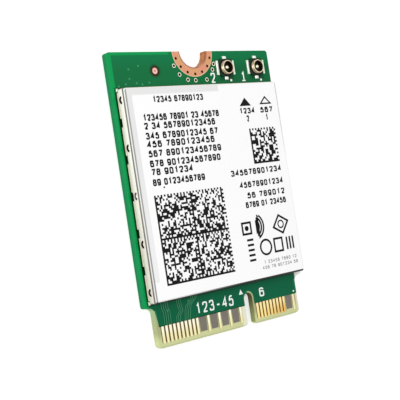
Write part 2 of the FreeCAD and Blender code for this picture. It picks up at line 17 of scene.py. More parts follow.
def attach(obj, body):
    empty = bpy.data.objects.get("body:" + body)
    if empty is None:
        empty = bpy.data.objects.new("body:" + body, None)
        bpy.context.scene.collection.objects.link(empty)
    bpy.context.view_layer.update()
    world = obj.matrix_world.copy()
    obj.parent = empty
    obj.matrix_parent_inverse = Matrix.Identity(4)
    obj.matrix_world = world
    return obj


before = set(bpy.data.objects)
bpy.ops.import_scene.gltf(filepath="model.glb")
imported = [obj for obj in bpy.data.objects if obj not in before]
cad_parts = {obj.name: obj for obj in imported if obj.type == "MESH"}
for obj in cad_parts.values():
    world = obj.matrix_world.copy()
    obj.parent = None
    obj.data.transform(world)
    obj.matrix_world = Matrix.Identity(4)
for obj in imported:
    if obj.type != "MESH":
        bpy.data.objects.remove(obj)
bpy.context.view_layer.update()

MM = 0.001
rng = np.random.default_rng(23)

# Heights above the back of the board
BOARD_TOP = 0.8
MASK_LOW = 0.7603               # just over the laminate, so that all above it is mask
LAMINATE_TOP = 0.76
LABEL_TOP = 2.04
COVER_TOP = 1.97
SKIRT_LOW = 1.07
TAB_HINGE = 1.48
MIDDLE_TAB_RISE = 0.08          # the middle tab's slit is coloured this much higher
TAB_PITCH_LONG = 4.815
TAB_PITCH_SHORT = 4.67
INK = 0.006
TRIM_LOW = BOARD_TOP - 0.01     # thin pieces start inside the board
RIM_TOP = BOARD_TOP + 0.004     # tops of the dark discs of painted shade in the vias, and of the mask round them

# Places on the card
BOARD_HALF = 11.0
SHOULDER_Y = -10.8
MASK_LINE_Y = -12.82
SHIELD_CENTRE = (0.0, 0.41)
SHIELD_HALF = (10.5, 10.79)
LABEL_HALF = (10.3, 10.67)
LABEL_LOW_Y = SHIELD_CENTRE[1] - LABEL_HALF[1]
RECEPTACLES = ((8.87, 13.12), (4.35, 13.12))
RING_CENTRE = (0.0, 15.0)
RING_RADIUS = 2.75
FIDUCIAL = (-5.3, 13.0)
KEY_NOTCH = (2.625, -13.0)
RESISTOR_ROW_Y = -6.69
VIA_RING_RADIUS = 2.44
VIA_RING_STEP = 24.1
VIA_RING_COUNT = 7
VIA_SHADE_DISC_RADIUS = 0.155
VIA_RIM_RADIUS = 0.258
VIA_RIM_WIDTH = 0.055
STITCH_VIAS = ((-151, 0.36), (-131, 0.51), (-110, 0.48), (-91, 0.37),
               (-64, 0.69), (-39, 0.47), (-27, 0.36))    # degrees, and millimetres from the ring

# Camera, from the photograph's perspective
CAMERA_PLACE = (-62.664, -1.795, 75.404)
CAMERA_RIGHT = (0.7678, -0.1514, 0.6226)
CAMERA_UP = (0.1112, 0.9884, 0.1032)
CAMERA_LENS = 82.3
FLOOR_HALF = 3000.0


def srgb(red, green, blue):
    """Linear colour with alpha from 0 to 255 display values."""
    values = np.array([red, green, blue]) / 255
    linear = np.where(values <= 0.04045, values / 12.92, ((values + 0.055) / 1.055) ** 2.4)
    return (*linear.tolist(), 1.0)


# Node building

class Tree:
    """Adds nodes to a node tree and links them, so that materials read as a few lines."""

    def __init__(self, tree):
        self.tree = tree

    def add(self, kind, inputs=(), **settings):
        """Node of this kind, with values or links for some of its inputs."""
        made = self.tree.nodes.new(kind)
        for name, value in settings.items():
            setattr(made, name, value)
        for key, value in dict(inputs).items():
            self.feed(made.inputs[key], value)
        return made

    def feed(self, socket, value):
        if isinstance(value, bpy.types.NodeSocket):
            self.tree.links.new(value, socket)
        elif value is not None:
            socket.default_value = value

    def math(self, operation, *values):
        return self.add("ShaderNodeMath", enumerate(values), operation=operation).outputs[0]

    def times(self, first, *others):
        for other in others:
            first = self.math("MULTIPLY", first, other)
        return first

    def above(self, value, limit):
        return self.math("GREATER_THAN", value, limit)

    def either(self, first, *others):
        """The largest of several masks."""
        for other in others:
            first = self.math("MAXIMUM", first, other)
        return first

    def apart(self, first, second):
        return self.math("ABSOLUTE", self.math("SUBTRACT", first, second))

    def vector(self, operation, first, second=None, scale=None):
        inputs = {0: first, 1: second} if scale is None else {0: first, "Scale": scale}
        made = self.add("ShaderNodeVectorMath", inputs, operation=operation)
        return made.outputs[1 if operation in ("LENGTH", "DISTANCE") else 0]

    def split(self, vector):
        """The X, Y and Z sockets of a vector."""
        return self.add("ShaderNodeSeparateXYZ", {0: vector}).outputs

    def ramp(self, value, low, high, out_low=0.0, out_high=1.0, smooth=True):
        inputs = {"Value": value, "From Min": low, "From Max": high, "To Min": out_low,
                  "To Max": out_high}
        kind = "SMOOTHSTEP" if smooth else "LINEAR"
        return self.add("ShaderNodeMapRange", inputs, interpolation_type=kind).outputs["Result"]

    def mix(self, factor, first, second):
        """Mix of two colours, each a socket or display values."""
        first, second = (srgb(*c) if isinstance(c, tuple) else c for c in (first, second))
        inputs = {0: factor, 6: first, 7: second}
        return self.add("ShaderNodeMix", inputs, data_type="RGBA").outputs[2]

    def layers(self, colour, *masked):
        """Colours laid over the first one in turn, each where its mask is 1."""
        for mask, top in masked:
            colour = self.mix(mask, colour, top)
        return colour

    def noise(self, position, scale, detail=2.0, roughness=0.5):
        inputs = {"Vector": position, "Scale": scale, "Detail": detail, "Roughness": roughness}
        return self.add("ShaderNodeTexNoise", inputs).outputs["Fac"]

    def group(self, shared, **values):
        inputs = {name.replace("_", " "): value for name, value in values.items()}
        return self.add("ShaderNodeGroup", inputs, node_tree=shared).outputs

    def seen_plainly(self):
        """1 for rays from the camera, from a reflection or through something clear."""
        path = self.add("ShaderNodeLightPath").outputs
        return self.either(path["Is Camera Ray"], path["Is Glossy Ray"], path["Is Transmission Ray"])


def new_group(name, inputs, outputs):
    """Shader node group with named sockets. Returns its tree helper, inputs and output sockets."""
    shared = bpy.data.node_groups.new(name, "ShaderNodeTree")
    for label, kind in inputs:
        shared.interface.new_socket(label, in_out="INPUT", socket_type=f"NodeSocket{kind}")
    for label, kind in outputs:
        shared.interface.new_socket(label, in_out="OUTPUT", socket_type=f"NodeSocket{kind}")
    tree = Tree(shared)
    return tree, tree.add("NodeGroupInput").outputs, tree.add("NodeGroupOutput").inputs


def box_mask_group():
    """1 inside a rectangle in X and Y, and 0 outside it, over a soft edge."""
    tree, given, result = new_group(
        "box_mask", [("Position", "Vector"), ("Centre", "Vector"), ("Half Size", "Vector"),
                     ("Softness", "Float")], [("Mask", "Float")])
    offset = tree.vector("SUBTRACT", given["Position"], given["Centre"])
    beyond = tree.vector("SUBTRACT", tree.vector("ABSOLUTE", offset), given["Half Size"])
    furthest = tree.either(*tree.split(beyond)[:2])
    tree.feed(result["Mask"], tree.ramp(furthest, 0.0, given["Softness"], 1.0, 0.0))
    return tree.tree


def surface_grain_group():
    """Fine and coarse unevenness of one finish, as values round 1 and as a height."""
    tree, given, result = new_group(
        "surface_grain", [("Position", "Vector"), ("Fine Scale", "Float"), ("Coarse Scale", "Float"),
                          ("Contrast", "Float")], [("Shade", "Float"), ("Height", "Float")])
    fine = tree.noise(given["Position"], given["Fine Scale"], detail=3.0)
    coarse = tree.noise(given["Position"], given["Coarse Scale"])
    both = tree.math("ADD", tree.times(fine, 0.45), tree.times(coarse, 0.55))
    swing = tree.times(tree.math("SUBTRACT", both, 0.5), given["Contrast"])
    tree.feed(result["Shade"], tree.math("ADD", 1.0, swing))
    tree.feed(result["Height"], fine)
    return tree.tree


def drawn_lines_group():
    """Hair lines left in metal by rolling or brushing, along one direction."""
    tree, given, result = new_group(
        "drawn_lines", [("Position", "Vector"), ("Stretch", "Vector"), ("Contrast", "Float")],
        [("Shade", "Float"), ("Height", "Float")])
    stretched = tree.vector("MULTIPLY", given["Position"], given["Stretch"])
    lines = tree.noise(stretched, 1.0, detail=4.0, roughness=0.65)
    swing = tree.times(tree.math("SUBTRACT", lines, 0.5), given["Contrast"])
    tree.feed(result["Shade"], tree.math("ADD", 1.0, swing))
    tree.feed(result["Height"], lines)
    return tree.tree


def slit_mask_group():
    """1 along half-round slits that hang below a line and repeat evenly along a wall."""
    tree, given, result = new_group(
        "slit_mask", [("Along", "Float"), ("Height", "Float"), ("Pitch", "Float")],
        [("Mask", "Float"), ("Side", "Float")])
    half = tree.times(given["Pitch"], 0.5)
    shifted = tree.math("ADD", given["Along"], half)
    local = tree.math("SUBTRACT", tree.math("WRAP", shifted, given["Pitch"], 0.0), half)
    across = tree.math("POWER", tree.math("ABSOLUTE", local), 2.0)
    down = tree.math("POWER", tree.math("ABSOLUTE", given["Height"]), 2.0)
    radius = tree.math("SQRT", tree.math("ADD", across, down))
    ring = tree.times(tree.ramp(radius, 0.13, 0.18), tree.ramp(radius, 0.385, 0.41, 1.0, 0.0))
    below = tree.ramp(given["Height"], 0.03, 0.07, 1.0, 0.0)
    tree.feed(result["Mask"], tree.times(ring, below))
    tree.feed(result["Side"], tree.ramp(tree.math("ABSOLUTE", local), 0.08, 0.2))
    return tree.tree


BOX_MASK = box_mask_group()
SLIT_MASK = slit_mask_group()
SURFACE_GRAIN = surface_grain_group()
DRAWN_LINES = drawn_lines_group()


class Finish(Tree):
    """A material under way, with its Principled shader and its position in millimetres."""

    def __init__(self, name, metallic=0.0, roughness=0.5, specular=0.5):
        self.material = bpy.data.materials.new(name)
        self.material.use_nodes = True
        super().__init__(self.material.node_tree)
        self.shader = self.tree.nodes["Principled BSDF"].inputs
        for label, value in (("Metallic", metallic), ("Roughness", roughness),
                             ("Specular IOR Level", specular)):
            self.shader[label].default_value = value
        coordinates = self.add("ShaderNodeTexCoord")
        self.position = self.vector("SCALE", coordinates.outputs["Object"], scale=1 / MM)
        self.x, self.y, self.z = self.split(self.position)

    def shaded(self, colour, *shades):
        """Colour times one or more values round 1."""
        if isinstance(colour, tuple):
            plain = self.add("ShaderNodeRGB").outputs[0]
            plain.default_value = srgb(*colour)
            colour = plain
        return self.vector("SCALE", colour, scale=self.times(*shades))

    def bump(self, height, depth_mm, strength):
        inputs = {"Strength": strength, "Distance": depth_mm * MM, "Height": height}
        self.feed(self.shader["Normal"], self.add("ShaderNodeBump", inputs).outputs["Normal"])

    def grained(self, colour, grain, depth_mm, strength, *shades):
        """Gives the material this colour and a low relief, both from one grain."""
        self.feed(self.shader["Base Color"], self.shaded(colour, grain["Shade"], *shades))
        self.bump(grain["Height"], depth_mm, strength)
        return self.material

    def inside(self, centre, half, softness=0.05):
        """1 inside the rectangle with this centre and half size."""
        return self.group(BOX_MASK, Position=self.position, Centre=(*centre, 0.0),
                          Half_Size=(*half, 0.0), Softness=softness)["Mask"]

    def distance(self, place):
        """Distance in X and Y from an upright line through this place."""
        flat = self.vector("MULTIPLY", self.position, (1.0, 1.0, 0.0))
        return self.vector("DISTANCE", flat, (*place, 0.0))

    def nearest_receptacle(self):
        """Distance in X and Y from the axis of the nearer receptacle."""
        return self.math("MINIMUM", *[self.distance(place) for place in RECEPTACLES])

    def grain(self, fine, coarse, contrast):
        return self.group(SURFACE_GRAIN, Position=self.position, Fine_Scale=fine,
                          Coarse_Scale=coarse, Contrast=contrast)

    def lines(self, stretch, contrast):
        return self.group(DRAWN_LINES, Position=self.position, Stretch=stretch, Contrast=contrast)


# Materials of one tone

def even_material(name, colour, grain, relief, **settings):
    """One colour under a grain of this fineness, coarseness and contrast, in a low relief of this
    depth and strength."""
    look = Finish(name, **settings)
    return look.grained(colour, look.grain(*grain), *relief)


def covered_material(name, colour):
    """Mask over raised tracks and vias, over the bare strips beside them, or round a via's rim."""
    return even_material(name, colour, (12.0, 1.0, 0.3), (0.004, 0.4), roughness=0.3, specular=0.15)


def solder_material(name, colour):
    """Smooth reflowed solder with a faint frost."""
    return even_material(name, colour, (18.0, 3.0, 0.22), (0.006, 0.5), metallic=0.5, roughness=0.35)


def print_material(name, colour, contrast, specular):
    """Thin print with a slightly uneven tone."""
    return even_material(name, colour, (20.0, 3.0, contrast), (0.002, 0.3), roughness=0.6,
                         specular=specular)


# Materials of the board

def mask_green(look, pour, grain):
    """Solder mask: darker over the copper pour and at the dot, with painted shade along the shield's
    foot, a painted shadow round each receptacle and a painted shade line along its end, and pale on the
    right shoulder."""
    right = look.ramp(look.x, -4.0, 5.0)
    lower = look.inside((0.0, -12.4), (BOARD_HALF, 2.2), 0.5)
    upper = look.times(look.ramp(look.y, 12.8, 14.8), 0.6)
    over_copper = look.layers(
        (14, 110, 62), (right, (10, 102, 58)), (lower, (4, 97, 63)), (upper, (6, 126, 74)))
    # Painted shade: the mask turns nearly black where the shield's foot meets it.
    shield_foot_shade = look.inside(SHIELD_CENTRE, (SHIELD_HALF[0] + 0.08, SHIELD_HALF[1] + 0.08), 0.2)
    halo = look.ramp(look.distance(FIDUCIAL), 0.58, 0.85, 0.45, 0.0)
    green = look.layers(
        (3, 154, 80), (pour, over_copper), (shield_foot_shade, (3, 36, 16)), (halo, (20, 52, 30)))
    # Painted shadow of each receptacle on the mask.
    for x, y in RECEPTACLES:
        shadow = look.inside((x + 0.1, y - 0.2), (0.8, 0.95), 0.35)
        green = look.mix(look.times(shadow, 0.55), green, (4, 50, 26))
    # Painted shade: a dark line along the mask's end above the contacts.
    mask_end_shade = look.inside((-2.4, MASK_LINE_Y), (7.1, 0.05), 0.07)
    right_shoulder = look.inside((10.65, -10.9), (0.62, 0.5), 0.12)
    return look.layers(
        look.shaded(green, grain["Shade"]), (look.times(mask_end_shade, 0.7), (2, 34, 20)),
        (right_shoulder, (232, 238, 230)))


def bare_laminate(look, grain):
    """Woven laminate: olive on the tongue, dark brown painted shade between the contacts, dark in the key
    notch, and green on the body's edge and where the mask thins out."""
    threads = {"Vector": look.position, "Scale": 2.4, "Mortar Size": 0.05,
               "Color1": srgb(184, 187, 136), "Color2": srgb(177, 182, 130),
               "Mortar": srgb(162, 170, 124)}
    weave = look.add("ShaderNodeTexBrick", threads)
    upper = look.ramp(look.y, SHOULDER_Y - 2.2, SHOULDER_Y + 0.2)
    right = look.ramp(look.x, 9.5, 9.8)
    tip = look.ramp(look.y, -14.5, -13.3, 0.8, 0.0)
    beside_notch = look.inside((1.75, -13.9), (0.3, 1.2), 0.08)
    # Painted shade: the laminate between the contacts of each row is dark brown.
    left_row = look.inside((-7.0, -13.6), (2.45, 0.8), 0.05)
    right_row = look.inside((5.75, -13.6), (2.2, 0.8), 0.05)
    in_notch = look.times(look.inside(KEY_NOTCH, (0.61, 2.0), 0.02),
                          look.ramp(look.z, 0.66, 0.74, 1.0, 0.0))
    notch_wall = look.mix(look.ramp(look.y, -14.4, -11.8), (150, 156, 100), (92, 84, 56))
    inner = look.inside((0.0, 11.0), (BOARD_HALF - 0.2, 3.8), 0.05)
    body_edge = look.times(look.math("LESS_THAN", look.z, MASK_LOW),
                           look.above(look.y, SHOULDER_Y + 0.01),
                           look.math("SUBTRACT", 1.0, inner))
    side_green = look.mix(look.ramp(look.z, 0.0, BOARD_TOP), (30, 122, 78), (14, 142, 80))
    from_thin_edge = look.math("ADD", look.x, look.math("MULTIPLY_ADD", look.y, 0.1875, 12.0))
    thin = look.either(look.times(look.ramp(from_thin_edge, -0.05, 0.08),
                                  look.inside((-9.8, -11.88), (0.2, 0.94), 0.02)),
                       look.inside((2.1, -12.1), (0.5, 0.72), 0.02),
                       look.inside((10.0, -11.8), (0.4, 0.98), 0.02))
    on_top = look.above(look.z, LAMINATE_TOP - 0.01)
    laminate = look.layers(
        weave.outputs["Color"], (upper, (166, 196, 150)), (right, (228, 226, 200)),
        (tip, (216, 220, 164)), (beside_notch, (232, 232, 206)), (left_row, (106, 86, 48)),
        (right_row, (104, 78, 36)), (in_notch, notch_wall), (inner, (62, 44, 30)),
        (body_edge, side_green), (look.times(thin, on_top), (36, 122, 82)))
    return look.shaded(laminate, grain["Shade"])


def board_material():
    """Green mask over copper and bare laminate, and olive laminate where the mask ends."""
    look = Finish("green_mask_and_laminate", roughness=0.35, specular=0.08)
    masked = look.either(look.above(look.z, MASK_LOW),
                         look.math("LESS_THAN", look.z, BOARD_TOP - MASK_LOW))
    pour = look.either(look.inside((0.25, 0.9), (BOARD_HALF - 0.25, 13.75), 0.08),
                       look.inside((5.0, 9.0), (8.1, 7.0), 0.3))
    grain = look.grain(9.0, 0.5, 0.2)
    colour = look.mix(masked, bare_laminate(look, grain), mask_green(look, pour, grain))
    look.feed(look.shader["Base Color"], colour)
    look.feed(look.shader["Roughness"], look.ramp(masked, 0.0, 1.0, 0.6, 0.3, smooth=False))
    look.bump(look.math("ADD", look.times(pour, 0.8), look.times(grain["Height"], 0.25)), 0.012, 0.6)
    return look.material


def copper_material():
    """Bare copper: mottled from pink to gold, with painted shade in brown at the inner rim, strongest on
    its left and at its upper right, and down its streaked wall, a pale painted highlight at the outer
    rim, and nearly black painted shade in the holes."""
    look = Finish("bare_copper", metallic=0.6, roughness=0.45)
    radius = look.distance(RING_CENTRE)
    patches = look.ramp(look.noise(look.position, 0.9, detail=3.0), 0.35, 0.65)
    # Painted shade at the inner rim, strongest on the left, and at the rim's upper right.
    inner_rim_shade = look.times(look.ramp(radius, 1.8, 1.9, 1.0, 0.0),
                           look.ramp(look.x, 0.3, 1.0, 1.0, 0.3))
    right_rim_shade = look.times(look.ramp(radius, 1.93, 2.08, 0.8, 0.0),
                           look.times(look.ramp(look.x, 0.9, 1.2), look.ramp(look.y, 13.2, 14.2)))
    # Painted highlight along the outer rim.
    outer_rim_highlight = look.ramp(radius, 2.66, 2.74)
    top = look.layers(
        (212, 138, 116), (patches, (206, 150, 106)), (inner_rim_shade, (140, 88, 60)),
        (right_rim_shade, (138, 84, 44)), (outer_rim_highlight, (236, 204, 168)))
    streaks = look.lines((14.0, 14.0, 0.4), 0.8)
    # Painted shade: nearly black in the holes, and a darker brown down the wall.
    bore_shade = look.ramp(radius, 1.95, 2.0)
    wall = look.layers(
        (116, 66, 30), (look.ramp(streaks["Shade"], 0.85, 1.15), (212, 140, 82)),
        (bore_shade, (24, 10, 6)))
    colour = look.mix(look.ramp(look.z, LAMINATE_TOP - 0.06, LAMINATE_TOP + 0.01), wall, top)
    return look.grained(colour, look.grain(14.0, 1.6, 0.35), 0.004, 0.5)


def via_material():
    """Pale tinned eyelets of the earth vias, with dark painted shade inside."""
    look = Finish("tinned_eyelets", metallic=0.3, roughness=0.4)
    # Painted shade: the eyelets are nearly black below the board's face.
    rim = look.ramp(look.z, BOARD_TOP - 0.05, BOARD_TOP - 0.02)
    colour = look.mix(rim, (24, 10, 6), (250, 248, 222))
    return look.grained(colour, look.grain(18.0, 3.0, 0.25), 0.004, 0.5)


def fiducial_material():
    """Bare copper dot: pink in its middle, pale round it and brown at its rim."""
    look = Finish("bare_copper_dot", metallic=0.4, roughness=0.5)
    radius = look.distance(FIDUCIAL)
    colour = look.layers(
        (218, 128, 120), (look.ramp(radius, 0.08, 0.22), (230, 196, 180)),
        (look.ramp(radius, 0.28, 0.34), (126, 70, 56)))
    return look.grained(colour, look.grain(12.0, 3.0, 0.35), 0.004, 0.5)


def contact_material():
    """Pale gold plating with fine wipe marks: a painted highlight makes it whitest at the mask, brown
    painted shade lines each contact's sides, and it is warmer in the right row and pale again on the last
    contact."""
    look = Finish("contact_gold", metallic=0.6, roughness=0.35)
    lines = look.lines((30.0, 1.5, 1.0), 0.3)
    # Painted highlight: the contacts turn whiter towards the mask.
    highlight_at_mask = look.ramp(look.y, MASK_LINE_Y - 1.3, MASK_LINE_Y - 0.2)
    in_right_row = look.ramp(look.x, 1.0, 4.2)
    left = look.mix(highlight_at_mask, (241, 234, 178), (253, 249, 224))
    right = look.layers(
        (252, 228, 146), (look.ramp(look.x, 4.0, 8.2), (234, 184, 96)),
        (highlight_at_mask, (252, 234, 170)))
    last = look.ramp(look.x, 8.9, 9.0)
    # Painted shade: brown along both sides of each contact.
    from_middle = look.apart(look.math("WRAP", look.x, 0.5, 0.0), 0.25)
    on_front = look.above(look.z, MASK_LOW - 0.1)
    edge = look.times(look.ramp(from_middle, 0.125, 0.17), on_front)
    side_shade_brown = look.mix(in_right_row, (140, 116, 72), (180, 142, 76))
    colour = look.layers(left, (in_right_row, right), (last, (242, 232, 188)), (edge, side_shade_brown))
    return look.grained(colour, lines, 0.004, 0.4)


# Materials of the shield and label

def cover_material():
    """Tinned sheet: rolled lines and cloudy patches, paler towards the back, and painted light: a dark
    line of painted reflection along the left bend, a cooler white painted sheen on the top face, painted
    shade along the skirt's lower edge, dark painted shade in the slits round the tabs and on the darker
    front bend, and a pale ledge below the middle tab."""
    look = Finish("tinned_cover", metallic=0.25, roughness=0.4, specular=0.3)
    lines = look.lines((1.2, 9.0, 9.0), 0.12)
    grain = look.grain(5.0, 0.7, 0.14)
    low_y = SHIELD_CENTRE[1] - SHIELD_HALF[1]
    left_x = -SHIELD_HALF[0]
    upper = look.ramp(look.y, -9.0, 6.0)
    on_left = look.ramp(look.x, left_x + 0.2, left_x + 0.4, 1.0, 0.25)
    # Painted reflection: a dark line along the left bend, fainter elsewhere.
    bend = look.times(look.ramp(look.apart(look.z, COVER_TOP - 0.1), 0.06, 0.11, 1.0, 0.0), on_left)
    # Painted sheen: the top face is a cooler white than the walls.
    roof_sheen = look.above(look.z, COVER_TOP - 0.005)
    # Painted shade: a brown line along the skirt's lower edge.
    foot = look.ramp(look.z, SKIRT_LOW + 0.02, SKIRT_LOW + 0.06, 0.25, 0.0)

    from_hinge = look.math("SUBTRACT", look.z, TAB_HINGE)
    from_middle = look.math("SUBTRACT", look.y, SHIELD_CENTRE[1])
    middle_tab = look.ramp(look.math("ABSOLUTE", from_middle), 0.45, 0.5, 1.0, 0.0)
    below_tab = look.times(look.ramp(from_hinge, -0.32, -0.29, 1.0, 0.0), middle_tab)
    metal = look.layers(
        (234, 226, 214), (upper, (254, 250, 240)), (bend, (104, 100, 96)), (roof_sheen, (246, 250, 250)),
        (foot, (96, 72, 50)), (below_tab, (250, 244, 232)))
    from_hinge = look.math("SUBTRACT", from_hinge, look.times(middle_tab, MIDDLE_TAB_RISE))
    beside_x = look.above(look.math("ABSOLUTE", look.x), SHIELD_HALF[0] - 0.13)
    beside_y = look.above(look.math("ABSOLUTE", from_middle), SHIELD_HALF[1] - 0.13)
    # Painted shade: dark slits round the tabs, darkest at their ends.
    for on_skirt, along, pitch in ((beside_x, from_middle, TAB_PITCH_LONG),
                                   (beside_y, look.x, TAB_PITCH_SHORT)):
        slit = look.group(SLIT_MASK, Along=along, Height=from_hinge, Pitch=pitch)
        dark = look.mix(slit["Side"], (66, 44, 33), (6, 3, 2))
        metal = look.mix(look.times(slit["Mask"], on_skirt), metal, dark)
    # Painted shade: the front bend is dark, nearly black towards the right.
    front_bend = look.times(look.ramp(look.y, low_y + 0.15, low_y + 0.2, 1.0, 0.0),
                            look.ramp(look.x, left_x + 0.1, left_x + 0.16))
    front_bend_shade = look.mix(look.ramp(look.x, -10.0, 4.0), (44, 42, 38), (5, 5, 4))
    metal = look.mix(front_bend, metal, front_bend_shade)

    look.feed(look.shader["Base Color"], look.shaded(metal, lines["Shade"], grain["Shade"]))
    look.bump(look.math("ADD", lines["Height"], grain["Height"]), 0.004, 0.4)
    return look.material


def frame_material():
    """Tinned sheet of the soldered fence: pale on its feet and darker towards the board, with dark
    painted shade behind the skirt.
    """
    look = Finish("tinned_frame", metallic=0.4, roughness=0.48)
    lines = look.lines((2.0, 12.0, 12.0), 0.2)
    grain = look.grain(8.0, 1.2, 0.3)
    inner_x = look.math("LESS_THAN", look.math("ABSOLUTE", look.x), SHIELD_HALF[0] - 0.6)
    inner_y = look.math("LESS_THAN", look.apart(look.y, SHIELD_CENTRE[1]), SHIELD_HALF[1] - 0.6)
    # Painted shade: the fence is dark behind the cover's skirt, away from its corners.
    hidden_shade = look.times(look.ramp(look.z, SKIRT_LOW - 0.02, SKIRT_LOW + 0.04),
                        look.either(inner_x, inner_y))
    rise = look.ramp(look.z, BOARD_TOP, SKIRT_LOW)
    metal = look.layers((132, 132, 112), (rise, (166, 164, 146)), (hidden_shade, (26, 15, 8)))
    return look.grained(metal, grain, 0.005, 0.5, lines["Shade"])


def label_material():
    """White film with a dull sheen, and painted shade: a faint grey border on its left and upper sides,
    grey lines inside its left and right edges, a dark painted shadow at its front, and grey cut edges."""
    look = Finish("white_label_film", roughness=0.5)
    left_x, right_x = -LABEL_HALF[0], LABEL_HALF[0]
    # Painted shade: a faint grey border along the left and upper sides.
    grey_border_shade = look.either(look.inside((-9.93, 1.39), (0.3, 9.69), 0.1),
                       look.inside((-4.4, 10.88), (6.1, 0.38), 0.2))
    grey = look.mix(look.ramp(look.y, -8.0, 6.0), (240, 241, 240), (231, 232, 231))
    # Painted shade: grey lines inside the left and right edges, and a dark painted shadow along the
    # front.
    left_edge_shade = look.ramp(look.x, left_x + 0.09, left_x + 0.15, 1.0, 0.0)
    front_edge_shadow = look.times(look.ramp(look.y, LABEL_LOW_Y + 0.08, LABEL_LOW_Y + 0.13, 1.0, 0.0),
                            look.ramp(look.x, -9.0, 2.0, 0.25, 1.0))
    right_edge_shade = look.times(look.ramp(look.x, right_x - 0.12, right_x - 0.06),
                            look.ramp(look.y, 1.0, 8.0, 0.0, 0.7))
    film = look.layers(
        (254, 254, 254), (grey_border_shade, grey), (left_edge_shade, (152, 152, 149)), (front_edge_shadow, (8, 8, 8)),
        (right_edge_shade, (150, 150, 150)))
    # Painted shade: the cut edges are grey.
    on_face = look.ramp(look.z, LABEL_TOP - 0.02, LABEL_TOP - 0.004)
    film = look.mix(on_face, (150, 150, 146), film)
    return look.grained(film, look.grain(7.0, 0.35, 0.03), 0.004, 0.3)


# Materials of the receptacles and the parts under the shield

def receptacle_gold_material():
    """Bright plated shell and pin: drawn marks round them, dark painted shade in the well round the pin
    and in the groove, and tinned legs that are darkened with painted shade where they stand beside the
    moulding."""
    look = Finish("receptacle_gold", metallic=0.6, roughness=0.3)
    lines = look.lines((3.0, 3.0, 40.0), 0.3)
    grain = look.grain(16.0, 2.0, 0.25)
    radius = look.nearest_receptacle()
    # Painted shade in the well round the pin.
    bore_shade = look.times(look.ramp(radius, 0.22, 0.28), look.ramp(radius, 0.64, 0.67, 1.0, 0.0))
    pin = look.ramp(radius, 0.2, 0.24, 1.0, 0.0)
    # Painted shade in the groove round the shell.
    groove = look.apart(look.z, BOARD_TOP + 0.405)
    groove_shade = look.times(look.ramp(groove, 0.02, 0.06, 0.7, 0.0), look.ramp(radius, 0.5, 0.6))
    (first_x, _), (second_x, _) = RECEPTACLES
    at_first = look.above(look.x, (first_x + second_x) / 2)
    local = look.math("SUBTRACT", look.math("SUBTRACT", look.x, second_x),
                      look.times(at_first, first_x - second_x))
    from_axis = look.math("ABSOLUTE", local)
    # Painted shade on the legs' outer ends beside the moulding.
    leg_shade = look.mix(look.ramp(local, 0.0, 0.1), (56, 50, 40), (74, 92, 66))
    reach = look.math("SUBTRACT", from_axis, look.ramp(local, 0.0, 0.1, 0.0, 0.04))
    side_leg = look.mix(look.ramp(local, 0.4, 0.7), (232, 236, 224), (226, 236, 216))
    side_leg = look.mix(look.ramp(reach, 0.98, 1.03), leg_shade, side_leg)
    leg = look.mix(look.ramp(from_axis, 0.5, 0.55), (232, 236, 224), side_leg)
    colour = look.layers(
        (228, 212, 176), (bore_shade, (36, 22, 6)), (pin, (244, 236, 204)), (groove_shade, (92, 70, 34)),
        (look.ramp(radius, 0.82, 0.86), leg))
    return look.grained(colour, lines, 0.003, 0.4, grain["Shade"])


def receptacle_base_material():
    """Black moulding, with some of the board's green on its outer corners."""
    look = Finish("receptacle_moulding", roughness=0.6, specular=0.15)
    corners = look.ramp(look.nearest_receptacle(), 0.9, 1.12)
    colour = look.mix(corners, (20, 20, 14), (12, 58, 34))
    return look.grained(colour, look.grain(22.0, 2.5, 0.35), 0.01, 0.5)


def moulded_material(name, colour, roughness, contrast=0.35):
    """Filled moulding compound: fine speckle and a low, even grain."""
    look = Finish(name, roughness=roughness, specular=0.15)
    grain = look.grain(22.0, 2.5, contrast)
    look.feed(look.shader["Roughness"], look.times(grain["Shade"], roughness))
    return look.grained(colour, grain, 0.01, 0.5)


def ended_material(name, body, ends):
    """Small ceramic part, tinned where ends gives 1."""
    look = Finish(name, roughness=0.4)
    tin = ends(look)
    look.feed(look.shader["Metallic"], look.times(tin, 0.8))
    colour = look.mix(tin, body, (206, 204, 196))
    return look.grained(colour, look.grain(15.0, 2.0, 0.25), 0.006, 0.4)


def proud_ends(look):
    """The tinned ends stand above the body of each capacitor."""
    return look.above(look.z, BOARD_TOP + 0.485)


def resistor_ends(look):
    """The ends of the resistor row, in Y."""
    return look.above(look.apart(look.y, RESISTOR_ROW_Y), 0.19)


def crystal_lid(look):
    """The lid above the crystal's ceramic tub."""
    return look.above(look.z, BOARD_TOP + 0.37)


def dress_nodes(materials):
    """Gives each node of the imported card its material."""
    for name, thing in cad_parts.items():
        key = next(k for k in materials if name.startswith(k))
        for slot in thing.material_slots:
            slot.material = materials[key]


# Making pieces

def new_object(name, data):
    """Object with this data, linked into the scene."""
    made = bpy.data.objects.new(name, data)
    bpy.context.scene.collection.objects.link(made)
    return made


def add_piece(name, parts, material, smooth=False):
    """One mesh from several (vertices in millimetres, faces as rows of indices). It rides on the
    card."""
    vertices, faces = merged(parts)
    mesh = bpy.data.meshes.new(name)
    mesh.from_pydata((np.asarray(vertices, float) * MM).tolist(), [], [list(f) for f in faces])
    mesh.polygons.foreach_set("use_smooth", np.full(len(mesh.polygons), smooth))
    mesh.materials.append(material)
    mesh.update()
    piece = new_object(name, mesh)
    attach(piece, "root")


def merged(parts):
    """One list of vertices and one of faces from several (vertices, faces)."""
    vertices, faces, start = [], [], 0
    for points, rows in parts:
        vertices.append(np.asarray(points, float))
        faces += [[int(i) + start for i in row] for row in rows]
        start += len(points)
    return np.vstack(vertices), faces


